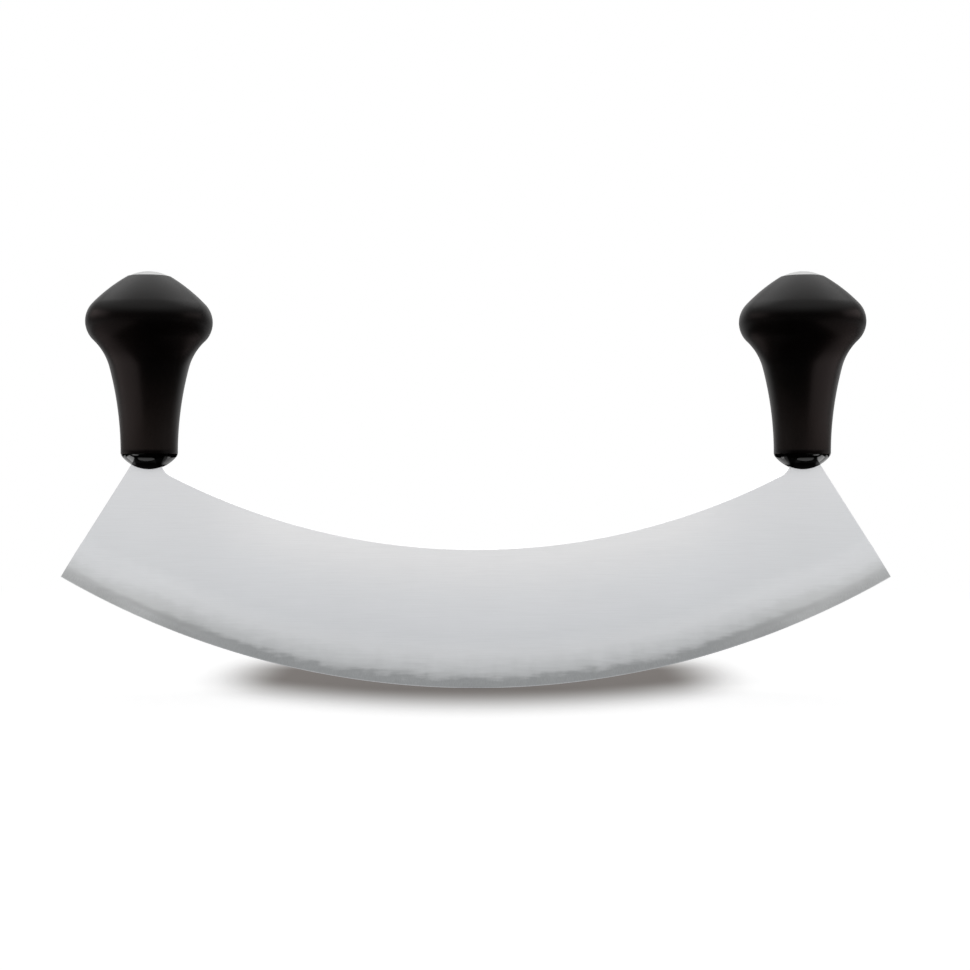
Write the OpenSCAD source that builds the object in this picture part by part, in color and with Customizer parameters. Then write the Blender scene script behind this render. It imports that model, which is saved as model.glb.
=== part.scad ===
// Mezzaluna: a crescent blade rocked by two upright knobs.
// X runs along the blade, Y across it and Z up. The lowest point of the cutting edge is at the origin.
// Every handle piece is drawn on the Z axis, with its seam between ferrule and grip at height zero.

/* [Blade] */
// Distance between the two tips of the blade
blade_span = 300; // [270:1:340]
// Radius of the convex cutting edge
edge_r = 300; // [270:1:360]
// Height of the blade at its middle
blade_h = 50; // [42:0.5:58]
// Radius of the concave spine
spine_r = 242; // [225:1:260]
// Thickness of the steel strip, which the necks and tabs keep
strip_t = 2.5; // [2:0.1:3.2]
// Steel ground off each side of the blade below its necks
ground_off = 0.1; // [0.05:0.01:0.2]

/* [Grind] */
// Height of the shallow taper above the edge
taper_h = 14; // [8:0.5:20]
// Steel that the taper takes off each side
taper_off = 0.25; // [0.1:0.01:0.35]
// Height of the cutting bevel
bevel_h = 4.5; // [3:0.1:6]
// Width of the flat that is left on the cutting edge
edge_land = 0.2; // [0.1:0.01:0.3]

/* [Necks] */
// Distance between the two handle axes
handle_span = 236; // [220:1:250]
// From a handle axis to its neck's inner side
neck_in = 4.5; // [3.8:0.1:5.5]
// From a handle axis to its neck's outer corner
neck_out = 4.9; // [4.2:0.1:5.5]
// Radius between the neck's inner side and the spine
neck_fillet = 6; // [3:0.1:8]
// Height of the ferrule's lowest point over the spine beside the neck
ferrule_lift = 0.6; // [0.3:0.1:2]
// Bare steel under the ferrule that keeps the strip's full thickness
bare_neck = 0.5; // [0.4:0.1:1]
// Width of the tab that the stud is riveted to
tab_w = 7.6; // [6:0.1:8]
// Height of the tab over the neck's shoulder
tab_h = 24; // [20:0.5:28]

/* [Grip] */
// Greatest diameter of the knob
knob_d = 45.4; // [40:0.1:50]
// Height of the knob's widest ring over the seam
knob_h = 48.3; // [46:0.1:52]
// Radius of the knob's belly
belly_r = 9.4; // [7:0.1:11]
// Height of the crown's rim over the seam
grip_h = 64.8; // [62:0.1:67]
// Radius of the crown's long arc
crown_r = 60; // [45:1:90]
// Diameter of the shank at the seam
shank_d = 20.4; // [20:0.1:23]
// Radius of the shank's long flare
flare_r = 123; // [100:1:150]
// Radius of the throat between the flare and the belly
throat_r = 20.5; // [14:0.5:26]
// Rounding of the shank's lower edge
grip_round = 1.3; // [0.6:0.1:1.4]
// Width of the flat on the crown's rim, round the nut
rim_land = 0.3; // [0.1:0.1:0.6]

/* [Ferrule] */
// Diameter of the ferrule's flange
ferrule_d = 18.8; // [18.2:0.1:19.2]
// Height of the flange's straight band
band_h = 0.5; // [0.3:0.1:1]
// Depth of the dome below the band
dome_h = 4.6; // [3.5:0.1:5.5]
// Diameter of the spigot that centres the grip
spigot_d = 15; // [14.2:0.1:15.6]
// Length of the spigot
spigot_h = 8; // [5:0.5:10]
// Height of the neck's shoulder seat below the seam
shoulder_drop = 1; // [0.6:0.1:1.6]

/* [Stud and rivets] */
// Diameter of the stud's rod
rod_d = 6; // [5:0.1:6.5]
// Diameter of the stud's foot
foot_d = 10.8; // [10.4:0.1:11.2]
// Thickness of the foot across its two flats
foot_t = 8; // [7:0.1:8.4]
// Height of the foot
foot_h = 18; // [17:0.5:20]
// Gap between the ferrule's spigot and the foot
foot_gap = 0.8; // [0.4:0.1:0.9]
// Diameter of a rivet's shank
rivet_d = 2.5; // [2:0.1:3]
// Distance between the two rivets
rivet_pitch = 6.5; // [5.5:0.1:7.5]
// Diameter of a rivet's head
rivet_head_d = 4; // [3.6:0.1:4.4]
// Height of a rivet's head
rivet_head_h = 0.7; // [0.4:0.1:0.8]

/* [Dome nut] */
// Diameter of the nut's head
head_d = 14.8; // [14:0.1:16]
// Height of the head's straight rim
head_rim_h = 1.2; // [0.8:0.1:1.6]
// Height of the head's dome over its rim
head_dome_h = 1.8; // [1.2:0.1:2.4]
// Outer diameter of the nut's threaded sleeve
sleeve_d = 9; // [8.6:0.1:9.6]
// Length of the sleeve
sleeve_h = 15; // [12:0.5:18]
// Length of the rod inside the sleeve
rod_engaged = 11; // [8:0.5:11]
// Outer diameter of the washer
washer_d = 14; // [12.5:0.1:14.4]
// Thickness of the washer
washer_t = 1; // [0.8:0.1:1.4]

/* [Clearances] */
// Between the neck or tab and the slots it goes through, on each side
slot_gap = 0.1; // [0.05:0.01:0.15]
// Between round pieces and their bores, on the radius
bore_gap = 0.1; // [0.05:0.01:0.15]
// Between the nut's head and its recess in the crown, on the radius
recess_gap = 0.15; // [0.1:0.01:0.25]

/* [Hidden] */
$fn = 128;

// Overlap of shapes that are joined or cut, so that no two faces coincide
lap = 1;
// How far an arc crosses the line or arc that it rounds into, so that the two meet without a sliver
cross = 0.005;

// Colours as photographed
STEEL = [0.80, 0.81, 0.82];
BRIGHT_STEEL = [0.84, 0.84, 0.84];
SATIN_BLACK = [0.09, 0.08, 0.075];
GLOSS_BLACK = [0.04, 0.04, 0.04];
INNER_STEEL = [0.6, 0.6, 0.62];

// Blade: heights on the spine, and the places of the necks
handle_x = handle_span / 2;
spine_z = blade_h + spine_r;
neck_x = handle_x - neck_in;
function spine_at(x) = spine_z - sqrt(pow(spine_r, 2) - pow(x, 2));
dome_base_z = spine_at(neck_x) + ferrule_lift;
seam_z = dome_base_z + dome_h + band_h;
shoulder_z = seam_z - shoulder_drop;
ground_z = dome_base_z - bare_neck;
tip_x = blade_span / 2;
tip_z = edge_r - sqrt(pow(edge_r, 2) - pow(tip_x, 2));
end_slope = (tip_x - handle_x - neck_out) / (shoulder_z - tip_z);
blade_t = strip_t - 2 * ground_off;
bevel_t = blade_t - 2 * taper_off;
fillet_x = neck_x - neck_fillet + cross;
fillet_reach = spine_r - neck_fillet + cross;
fillet_z = spine_z - sqrt(pow(fillet_reach, 2) - pow(fillet_x, 2));

// Stud and rivets: heights over the seam
foot_z = spigot_h + foot_gap;
foot_top = foot_z + foot_h;
tab_top = tab_h - shoulder_drop;
rivet_mid = (foot_z + tab_top) / 2;
foot_slot_t = strip_t + 2 * slot_gap;

// Nut and washer: heights over the seam
head_z = grip_h - head_rim_h;
washer_z = head_z - washer_t;
sleeve_z = head_z - sleeve_h;
rod_top = sleeve_z + rod_engaged;
rod_r = rod_d / 2;
thread_r = rod_r + bore_gap / 2;
head_dome_r = (pow(head_d / 2, 2) + pow(head_dome_h, 2)) / (2 * head_dome_h);

// Grip: centres of its arcs as [radius, height], and the points where one arc takes over from the next
function cross_of(a, ra, b, rb, side) =
    let (
        d = norm(b - a),
        u = (ra * ra - rb * rb + d * d) / (2 * d),
        h = sqrt(ra * ra - u * u),
        e = (b - a) / d
    )
    a + u * e + side * h * [-e[1], e[0]];
function from_to(a, b, length) = a + (b - a) * length / norm(b - a);
recess_r = head_d / 2 + recess_gap;
belly_c = [knob_d / 2 - belly_r, knob_h];
flare_c = [shank_d / 2 + flare_r - cross, grip_round];
throat_c = cross_of(flare_c, flare_r - throat_r + cross, belly_c, belly_r + throat_r - cross, 1);
crown_c = cross_of(belly_c, crown_r - belly_r + cross, [recess_r + rim_land, grip_h], crown_r, 1);
flare_end = from_to(flare_c, throat_c, flare_r);
belly_start = from_to(belly_c, throat_c, belly_r - cross / 2);
crown_start = from_to(crown_c, belly_c, crown_r);

// Blade

// The removed throat between the necks, drawn smaller all round by gap
module throat(gap) {
    inner_x = neck_x - gap;
    tangent_x = fillet_x * (spine_r - gap) / fillet_reach;
    intersection() {
        translate([0, spine_z]) circle(spine_r - gap, $fn = 720);
        translate([-tangent_x, 0]) square([2 * tangent_x, spine_z]);
    }
    for (side = [-1, 1]) {
        translate([side * fillet_x, fillet_z]) circle(neck_fillet - gap);
    }
    translate([-inner_x, fillet_z]) square([2 * inner_x, spine_z]);
}

// The blade seen from the front, with its end cuts drawn larger all round by gap, up to the height top_z.
// The cutting edge is left to the ground form.
module blade_outline(gap, top_z) {
    side_gap = gap * norm([1, end_slope]);
    low_x = tip_x + (tip_z + lap) * end_slope + side_gap;
    top_x = tip_x - (top_z - tip_z) * end_slope + side_gap;
    difference() {
        polygon([[-low_x, -lap], [low_x, -lap], [top_x, top_z], [-top_x, top_z]]);
        throat(gap);
    }
}

// A tab's outline, drawn on its handle's axis with its full-radius end at the top
module tab_outline(gap) {
    tab_r = tab_w / 2 + gap;
    translate([-tab_r, -shoulder_drop - lap]) square([2 * tab_r, tab_h - tab_w / 2 + lap]);
    translate([0, tab_top - tab_w / 2]) circle(tab_r);
}

// A flat outline stood upright and given its thickness along Y
module upright(thickness) {
    rotate([90, 0, 0]) linear_extrude(thickness, center = true) children();
}

// What the grinding leaves: two flats, then a shallow taper and the bevel, both turned about the edge's centre
module ground_form() {
    taper_r = edge_r - taper_h;
    bevel_r = edge_r - bevel_h;
    translate([0, 0, edge_r]) rotate([90, 0, 0]) rotate_extrude($fn = 720) polygon([
        [0, -blade_t / 2], [taper_r, -blade_t / 2], [bevel_r, -bevel_t / 2], [edge_r, -edge_land / 2],
        [edge_r, edge_land / 2], [bevel_r, bevel_t / 2], [taper_r, blade_t / 2], [0, blade_t / 2]
    ]);
}

module blade() {
    color(STEEL) difference() {
        union() {
            intersection() {
                upright(strip_t) blade_outline(0, ground_z);
                ground_form();
            }
            upright(strip_t) intersection() {
                blade_outline(0, shoulder_z);
                translate([-tip_x, ground_z]) square([blade_span, shoulder_z]);
            }
            for (side = [-1, 1]) {
                translate([side * handle_x, 0, seam_z]) upright(strip_t) tab_outline(0);
            }
        }
        for (side = [-1, 1]) {
            translate([side * handle_x, 0, seam_z]) rivet_bores();
        }
    }
}

// Handle pieces

// The two bores that the rivets pass through
module rivet_bores() {
    for (place = [-0.5, 0.5]) {
        translate([0, 0, rivet_mid + place * rivet_pitch]) rotate([90, 0, 0])
            cylinder(h = foot_t + 2 * lap, d = rivet_d + bore_gap, center = true);
    }
}

module ferrule() {
    dome_r = (pow(ferrule_d / 2, 2) + pow(dome_h, 2)) / (2 * dome_h);
    color(GLOSS_BLACK) difference() {
        rotate_extrude() {
            intersection() {
                translate([0, dome_r - dome_h - band_h]) circle(dome_r);
                translate([0, -dome_h - band_h - lap]) square([ferrule_d / 2, dome_h + band_h + lap]);
            }
            translate([0, -lap]) square([spigot_d / 2, spigot_h + lap]);
        }
        translate([-handle_x, 0, -seam_z]) upright(strip_t + 2 * slot_gap)
            blade_outline(slot_gap, shoulder_z);
        upright(strip_t + 2 * slot_gap) tab_outline(slot_gap);
    }
}

// Half of the grip's section: a rounded foot, the flare, the throat, the belly and the crown
module grip_section() {
    foot_r = shank_d / 2 - grip_round;
    shank_start = [shank_d / 2 - cross / 2, grip_round];
    core_top = crown_start[1] + lap;
    intersection() {
        square([knob_d, grip_h]);
        difference() {
            union() {
                polygon([[0, 0], [foot_r, 0], shank_start, belly_start, [belly_c[0], core_top], [0, core_top]]);
                translate([foot_r, grip_round]) circle(grip_round);
                translate(belly_c) circle(belly_r);
                intersection() {
                    translate(crown_c) circle(crown_r, $fn = 360);
                    translate([0, crown_start[1]]) square([knob_d, grip_h]);
                }
            }
            intersection() {
                translate(flare_c) circle(flare_r, $fn = 720);
                square([knob_d, flare_end[1]]);
            }
            translate(throat_c) circle(throat_r, $fn = 256);
        }
    }
}

module grip() {
    color(SATIN_BLACK) difference() {
        rotate_extrude() grip_section();
        translate([0, 0, -lap]) cylinder(h = spigot_h + lap, d = spigot_d + 2 * bore_gap);
        cylinder(h = foot_top + bore_gap, d = foot_d + 2 * bore_gap);
        cylinder(h = grip_h, d = rod_d + 2 * bore_gap);
        translate([0, 0, sleeve_z - bore_gap]) cylinder(h = grip_h, d = sleeve_d + 2 * bore_gap);
        translate([0, 0, washer_z]) cylinder(h = grip_h, r = recess_r);
    }
}

module stud() {
    color(INNER_STEEL) difference() {
        union() {
            translate([0, 0, foot_z]) intersection() {
                cylinder(h = foot_h, d = foot_d);
                translate([0, 0, foot_h / 2]) cube([foot_d, foot_t, foot_h], center = true);
            }
            translate([0, 0, foot_z + lap]) cylinder(h = rod_top - foot_z - lap, d = rod_d);
        }
        upright(foot_slot_t) {
            translate([-foot_d, 0]) square([2 * foot_d, tab_top + slot_gap]);
        }
        rivet_bores();
    }
}

module rivets() {
    for (place = [-0.5, 0.5]) {
        color(INNER_STEEL) translate([0, 0, rivet_mid + place * rivet_pitch]) rotate([90, 0, 0]) {
            cylinder(h = foot_t + lap, d = rivet_d, center = true);
            for (side = [-1, 1]) {
                translate([0, 0, side * (foot_t + rivet_head_h) / 2])
                    cylinder(h = rivet_head_h, d = rivet_head_d, center = true);
            }
        }
    }
}

module washer() {
    color(INNER_STEEL) translate([0, 0, washer_z]) difference() {
        cylinder(h = washer_t, d = washer_d);
        translate([0, 0, -lap]) cylinder(h = washer_t + 2 * lap, d = sleeve_d + 2 * bore_gap);
    }
}

module dome_nut() {
    color(BRIGHT_STEEL) difference() {
        rotate_extrude() {
            translate([0, sleeve_z]) square([sleeve_d / 2, sleeve_h + lap / 2]);
            intersection() {
                translate([0, grip_h + head_dome_h - head_dome_r]) circle(head_dome_r, $fn = 256);
                translate([0, head_z]) square([head_d / 2, head_rim_h + head_dome_h + lap]);
            }
        }
        translate([0, 0, sleeve_z - lap]) cylinder(h = rod_engaged + 2 * lap, r = thread_r);
    }
}

// Places a handle piece on the right (1) or mirrored on the left (-1)
module on_side(side) {
    if (side > 0) {
        translate([handle_x, 0, seam_z]) children();
    } else {
        mirror([1, 0, 0]) translate([handle_x, 0, seam_z]) children();
    }
}

blade();
on_side(-1) ferrule();  // left_ferrule
on_side(1) ferrule();  // right_ferrule
on_side(-1) grip();  // left_grip
on_side(1) grip();  // right_grip
on_side(-1) stud();  // left_stud
on_side(1) stud();  // right_stud
on_side(-1) rivets();  // left_rivets
on_side(1) rivets();  // right_rivets
on_side(-1) washer();  // left_washer
on_side(1) washer();  // right_washer
on_side(-1) dome_nut();  // left_dome_nut
on_side(1) dome_nut();  // right_dome_nut
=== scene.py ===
"""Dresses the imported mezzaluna: a crescent steel blade rocked by two upright black knobs.

Lengths are in metres. X runs along the blade, Y across it and Z up. The lowest point of the cutting
edge is at the origin, as in the frame. The camera looks along +Y.
"""

import logging
import math
from dataclasses import dataclass
from dataclasses import field
from enum import Enum
from typing import Callable

import bmesh
import bpy
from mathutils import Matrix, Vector


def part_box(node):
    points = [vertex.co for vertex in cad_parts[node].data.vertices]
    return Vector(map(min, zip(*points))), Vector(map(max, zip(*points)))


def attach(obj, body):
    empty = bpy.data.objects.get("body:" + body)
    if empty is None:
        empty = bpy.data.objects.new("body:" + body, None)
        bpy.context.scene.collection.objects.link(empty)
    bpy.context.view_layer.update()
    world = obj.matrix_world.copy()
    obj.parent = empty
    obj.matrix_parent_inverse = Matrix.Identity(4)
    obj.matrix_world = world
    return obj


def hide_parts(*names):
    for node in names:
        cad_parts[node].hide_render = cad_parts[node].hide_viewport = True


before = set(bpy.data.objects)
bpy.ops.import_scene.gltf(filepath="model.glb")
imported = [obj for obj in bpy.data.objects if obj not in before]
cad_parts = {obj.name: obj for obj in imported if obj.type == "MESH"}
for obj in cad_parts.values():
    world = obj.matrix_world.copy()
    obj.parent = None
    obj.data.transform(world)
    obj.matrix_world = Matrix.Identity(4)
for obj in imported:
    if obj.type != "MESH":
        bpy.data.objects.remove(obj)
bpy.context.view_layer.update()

log = logging.getLogger("mezzaluna")

MM = 0.001
BODY = "root"
MERGE = 0.002 * MM

Point = tuple[float, float]
Outline = list[Point]
Colour = tuple[float, float, float]
Test = Callable[[Vector, Vector], bool]


class Side(Enum):
    """The two ends of the blade, with the sign of X there."""

    LEFT = -1
    RIGHT = 1

    @property
    def label(self) -> str:
        """The word that starts the names of this side's pieces."""
        return self.name.lower()


class Element(Enum):
    """What a selection in edit mode is made of."""

    VERTEX = "VERT"
    EDGE = "EDGE"
    FACE = "FACE"


class Axis(Enum):
    """The axis that a drawn outline is given its thickness along, or a cutter lies along."""

    Y = (0.0, 1.0, 0.0)
    Z = (0.0, 0.0, 1.0)


# Geometry of arcs


def polar(centre: Point, radius: float, angle: float) -> Point:
    """The point on a circle at an angle."""
    return (centre[0] + radius * math.cos(angle), centre[1] + radius * math.sin(angle))


def bearing(centre: Point, point: Point) -> float:
    """The angle from a centre to a point."""
    return math.atan2(point[1] - centre[1], point[0] - centre[0])


def arc(centre: Point, radius: float, start: float, end: float, step: float) -> Outline:
    """Points along an arc, without its first one.

    Args:
        centre: Centre of the arc.
        radius: Its radius.
        start: Angle at which it starts.
        end: Angle at which it ends.
        step: Greatest angle between two points.

    Returns:
        The points after the start, up to the end.
    """
    count = max(2, math.ceil(abs(end - start) / step))
    return [polar(centre, radius, start + (end - start) * i / count) for i in range(1, count + 1)]


def crossing(a: Point, radius_a: float, b: Point, radius_b: float) -> Point:
    """The crossing of two circles that lies to the left on the way from a to b.

    Args:
        a: Centre of the first circle.
        radius_a: Its radius.
        b: Centre of the second circle.
        radius_b: Its radius.

    Returns:
        The crossing point.
    """
    apart = math.dist(a, b)
    along = (radius_a**2 - radius_b**2 + apart**2) / (2 * apart)
    aside = math.sqrt(radius_a**2 - along**2)
    ex, ez = (b[0] - a[0]) / apart, (b[1] - a[1]) / apart
    return (a[0] + along * ex - aside * ez, a[1] + along * ez + aside * ex)


# The bench: one mesh at a time, shaped by operators


def clear_selection() -> None:
    """Leaves nothing selected, so that an operator acts on the new piece alone."""
    if bpy.context.object is not None and bpy.context.object.mode != "OBJECT":
        bpy.ops.object.mode_set(mode="OBJECT")
    bpy.ops.object.select_all(action="DESELECT")


class Workpiece:
    """One mesh that is shaped in edit mode and finished with modifiers."""

    def __init__(self, name: str) -> None:
        """Takes the primitive that was just added as the start of a piece.

        Args:
            name: Name of the piece.
        """
        self.obj = bpy.context.object
        self.obj.name = name
        self.obj.data.name = name
        bpy.ops.object.transform_apply(location=True, rotation=True, scale=True)
        self.edit()

    @classmethod
    def from_ring(cls, name: str, radius: float, height: float, steps: int, filled: bool) -> "Workpiece":
        """Starts a turned piece with a flat ring round the Z axis.

        Args:
            name: Name of the piece.
            radius: Radius of the ring.
            height: Its height.
            steps: Number of its points.
            filled: Whether the ring is closed by a flat face.

        Returns:
            The piece, in edit mode, with the ring selected.
        """
        clear_selection()
        fill = "NGON" if filled else "NOTHING"
        bpy.ops.mesh.primitive_circle_add(
            vertices=steps, radius=radius, fill_type=fill, location=(0, 0, height)
        )
        return cls(name)

    @classmethod
    def from_outline(cls, name: str, outline: Outline, thickness: float) -> "Workpiece":
        """Draws an upright outline in X and Z and gives it its thickness along Y.

        Args:
            name: Name of the piece.
            outline: Its corners in order.
            thickness: Its thickness, shared by both sides of the XZ plane.

        Returns:
            The piece, in edit mode, with all of it selected.
        """
        clear_selection()
        bpy.ops.mesh.primitive_plane_add(size=MM, location=(outline[0][0], -thickness / 2, outline[0][1]))
        piece = cls(name)
        bpy.ops.mesh.merge(type="CENTER")
        piece.draw(outline)
        piece.select_all()
        bpy.ops.mesh.edge_face_add()
        bpy.ops.mesh.extrude_region_move(TRANSFORM_OT_translate={"value": (0, thickness, 0)})
        piece.tidy()
        return piece

    def edit(self) -> None:
        """Goes into edit mode on this piece, with all of it selected."""
        clear_selection()
        bpy.context.view_layer.objects.active = self.obj
        self.obj.select_set(True)
        bpy.ops.object.mode_set(mode="EDIT")
        bpy.ops.mesh.select_mode(type=Element.VERTEX.value)
        self.select_all()

    def leave(self) -> None:
        """Goes back to object mode with this piece alone selected."""
        bpy.ops.object.mode_set(mode="OBJECT")

    def select_all(self) -> None:
        """Selects the whole mesh."""
        bpy.ops.mesh.select_all(action="SELECT")

    def select(self, element: Element, test: Test) -> int:
        """Selects elements by their place and normal.

        Args:
            element: What is selected.
            test: Is given the middle of an element and its normal, and says whether to take it.

        Returns:
            How many elements were taken.
        """
        bpy.ops.mesh.select_mode(type=element.value)
        bpy.ops.mesh.select_all(action="DESELECT")
        mesh = bmesh.from_edit_mesh(self.obj.data)
        mesh.normal_update()
        taken = 0
        if element is Element.VERTEX:
            for vertex in mesh.verts:
                if test(vertex.co, vertex.normal):
                    vertex.select_set(True)
                    taken += 1
        elif element is Element.EDGE:
            for edge in mesh.edges:
                middle = (edge.verts[0].co + edge.verts[1].co) / 2
                if test(middle, (edge.verts[1].co - edge.verts[0].co).normalized()):
                    edge.select_set(True)
                    taken += 1
        else:
            for face in mesh.faces:
                if test(face.calc_center_median(), face.normal):
                    face.select_set(True)
                    taken += 1
        mesh.select_flush_mode()
        bmesh.update_edit_mesh(self.obj.data, loop_triangles=False, destructive=False)
        return taken

    def draw(self, points: Outline) -> None:
        """Extrudes the one selected point, which is the first, through the others in turn."""
        for (x0, z0), (x1, z1) in zip(points, points[1:]):
            bpy.ops.mesh.extrude_vertices_move(
                TRANSFORM_OT_translate={"value": (x1 - x0, 0, z1 - z0)}
            )

    def turn_to(self, here: Point, there: Point) -> None:
        """Extrudes the selected ring to the next radius and height of a turned profile."""
        bpy.ops.mesh.extrude_edges_move(TRANSFORM_OT_translate={"value": (0, 0, there[1] - here[1])})
        share = there[0] / here[0]
        bpy.ops.transform.resize(value=(share, share, 1), center_override=(0, 0, there[1]))

    def turn(self, profile: Outline) -> None:
        """Turns the rest of a profile whose first ring is selected, and closes its poles and seam."""
        bpy.ops.mesh.select_mode(type=Element.EDGE.value)
        for here, there in zip(profile, profile[1:]):
            self.turn_to(here, there)
        self.tidy()

    def tidy(self) -> None:
        """Merges doubled points and turns every face outwards."""
        self.select_all()
        bpy.ops.mesh.remove_doubles(threshold=MERGE)
        bpy.ops.mesh.normals_make_consistent(inside=False)

    def apply(self, kind: str, **settings: object) -> None:
        """Adds a modifier with its settings and applies it, in object mode."""
        bpy.ops.object.modifier_add(type=kind)
        modifier = self.obj.modifiers[-1]
        for setting, value in settings.items():
            setattr(modifier, setting, value)
        bpy.ops.object.modifier_apply(modifier=modifier.name)

    def cut(self, cutter: "Workpiece") -> None:
        """Takes the cutter's shape away from this piece and deletes the cutter."""
        cutter.leave()
        self.edit()
        self.leave()
        self.apply("BOOLEAN", operation="DIFFERENCE", solver="EXACT", object=cutter.obj)
        bpy.data.objects.remove(cutter.obj)

    def smooth(self, degrees: float) -> None:
        """Shades smooth across edges under an angle."""
        bpy.ops.object.shade_smooth_by_angle(angle=math.radians(degrees))

    def copied_to(self, name: str, side: Side, move: Vector) -> "Workpiece":
        """A copy with its own mesh, mirrored for the left side and then moved.

        Args:
            name: Name of the copy.
            side: The side that it is for.
            move: How far it is moved from this piece, which is drawn for the right side.

        Returns:
            The copy, in object mode.
        """
        clear_selection()
        bpy.context.view_layer.objects.active = self.obj
        self.obj.select_set(True)
        bpy.ops.object.duplicate(linked=False)
        copy = Workpiece(name)
        if side is Side.LEFT:
            bpy.ops.transform.resize(value=(-1, 1, 1), center_override=(0, 0, 0))
        bpy.ops.transform.translate(value=move)
        copy.tidy()
        copy.leave()
        return copy

    def discard(self) -> None:
        """Deletes a pattern piece once its copies are made."""
        bpy.data.objects.remove(self.obj)


# Shader graphs


class Graph:
    """A shader node tree while it is being wired."""

    def __init__(self, tree: bpy.types.NodeTree) -> None:
        """Empties the tree.

        Args:
            tree: The material's, world's or group's node tree.
        """
        self.tree = tree
        tree.nodes.clear()

    def add(self, kind: str, inputs: dict | None = None, **settings: object) -> bpy.types.Node:
        """Adds a node.

        Args:
            kind: Type of the node, without its ShaderNode start.
            inputs: Socket name or number to a value, or to an output socket that feeds it.
            settings: The node's own properties.

        Returns:
            The node.
        """
        name = kind if kind.startswith("NodeGroup") else "ShaderNode" + kind
        node = self.tree.nodes.new(name)
        for setting, value in settings.items():
            setattr(node, setting, value)
        for socket, value in (inputs or {}).items():
            if isinstance(value, bpy.types.NodeSocket):
                self.tree.links.new(value, node.inputs[socket])
            else:
                node.inputs[socket].default_value = value
        return node

    def math(self, operation: str, *values: object) -> bpy.types.NodeSocket:
        """The result of a math node on values or sockets."""
        inputs = dict(enumerate(values))
        return self.add("Math", inputs, operation=operation).outputs[0]

    def ramp(self, factor: bpy.types.NodeSocket, stops: tuple[tuple[float, Colour], ...]) -> bpy.types.NodeSocket:
        """A colour ramp with its stops as (place, colour)."""
        node = self.add("ValToRGB", {"Fac": factor})
        elements = node.color_ramp.elements
        while len(elements) < len(stops):
            elements.new(0.5)
        for element, (place, _) in zip(elements, stops):
            element.position = place
        for element, (_, colour) in zip(elements, stops):
            element.color = (*colour, 1)
        return node.outputs["Color"]

    def spread(self, value: bpy.types.NodeSocket, low: float, high: float, to: Point) -> bpy.types.NodeSocket:
        """A value between low and high mapped smoothly onto another range."""
        inputs = {"Value": value, "From Min": low, "From Max": high, "To Min": to[0], "To Max": to[1]}
        return self.add("MapRange", inputs, interpolation_type="SMOOTHSTEP").outputs["Result"]

    def blend(self, share: bpy.types.NodeSocket, near: bpy.types.NodeSocket, far: bpy.types.NodeSocket) -> bpy.types.NodeSocket:
        """One varying colour passing into another as a share goes from zero to one."""
        node = self.add("Mix", {0: share, 6: near, 7: far}, data_type="RGBA")
        return node.outputs[2]

    def scaled_colour(self, colour: bpy.types.NodeSocket, value: bpy.types.NodeSocket) -> bpy.types.NodeSocket:
        """A colour times a value that changes over the surface."""
        node = self.add("VectorMath", {0: colour, "Scale": value}, operation="SCALE")
        return node.outputs["Vector"]


def new_group(name: str, inputs: dict[str, str], outputs: dict[str, str]) -> tuple[Graph, dict, dict]:
    """Starts a shader node group.

    Args:
        name: Name of the group.
        inputs: Input names and whether each is a Float or a Vector.
        outputs: Output names and their types.

    Returns:
        The graph, its input sockets and the sockets that its results go to, by name.
    """
    tree = bpy.data.node_groups.new(name, "ShaderNodeTree")
    for direction, sockets in (("INPUT", inputs), ("OUTPUT", outputs)):
        for socket, kind in sockets.items():
            tree.interface.new_socket(name=socket, in_out=direction, socket_type="NodeSocket" + kind)
    graph = Graph(tree)
    entry = graph.add("NodeGroupInput")
    leaving = graph.add("NodeGroupOutput")
    return graph, {n: entry.outputs[n] for n in inputs}, {n: leaving.inputs[n] for n in outputs}


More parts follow.
